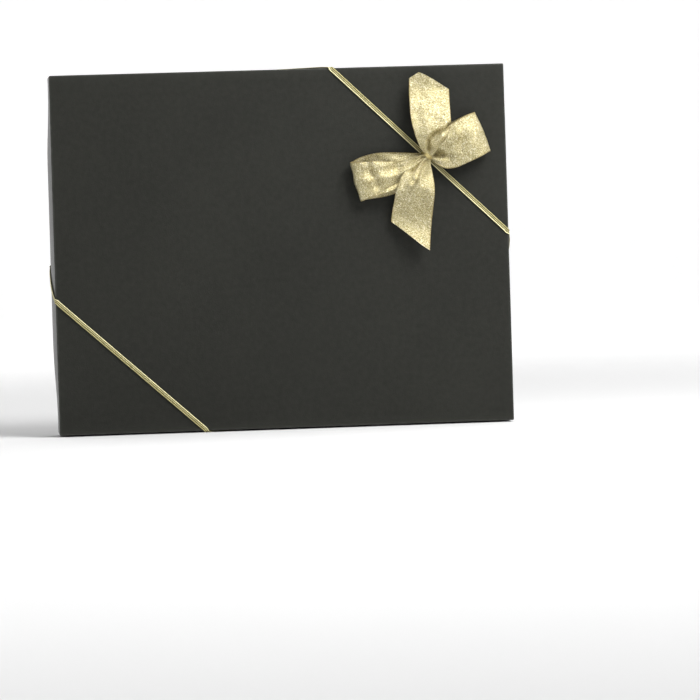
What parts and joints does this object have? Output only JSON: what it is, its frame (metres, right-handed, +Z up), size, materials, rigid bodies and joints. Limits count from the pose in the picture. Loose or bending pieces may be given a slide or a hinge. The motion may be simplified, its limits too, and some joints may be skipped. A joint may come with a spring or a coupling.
{
  "type": "gift box",
  "caption": "Flat rectangular gift box standing on a long edge: lift-off lid over a base tray, held shut by a diagonal elastic loop with a ribbon bow.",
  "frame": {"origin": "middle of the plane the box stands on, under the middle of its width and depth; the underside of the elastic loop is in that plane", "axes": "+X along the width toward the bow, -Y out of the lid's face, +Z up"},
  "size_m": [0.282, 0.0461, 0.222],
  "materials": {
    "black_paper": "matte black covering paper with a fine emboss",
    "greyboard": "raw grey chipboard",
    "corner_tape": "brown kraft paper tape",
    "lining_paper": "matte black lining paper",
    "gold_elastic": "flat elastic braid with metallic gold yarn",
    "gold_ribbon": "metallic gold ribbon with a glitter weave",
    "clip_metal": "plated brass",
    "tie_wire": "gold wire tie"
  },
  "bodies": {
    "base": {"base_board": "greyboard", "base_wrap": "black_paper", "base_liner": "lining_paper", "base_stay_1": "corner_tape", "base_stay_2": "corner_tape", "base_stay_3": "corner_tape", "base_stay_4": "corner_tape"},
    "lid": {"lid_board": "greyboard", "lid_wrap": "black_paper", "lid_liner": "lining_paper", "lid_stay_1": "corner_tape", "lid_stay_2": "corner_tape", "lid_stay_3": "corner_tape", "lid_stay_4": "corner_tape", "elastic_loop": "gold_elastic", "loop_clip": "clip_metal", "bow_loops": "gold_ribbon", "bow_tails": "gold_ribbon", "bow_tie": "tie_wire"}
  },
  "joints": [
    {"name": "lid_slide", "type": "slide", "parent": "base", "child": "lid", "axis": [0, -1, 0], "range_m": [0, 0.045], "stiffness_N_per_m": 150, "springref_m": -0.024, "deforming": ["elastic_loop"]}
  ]
}
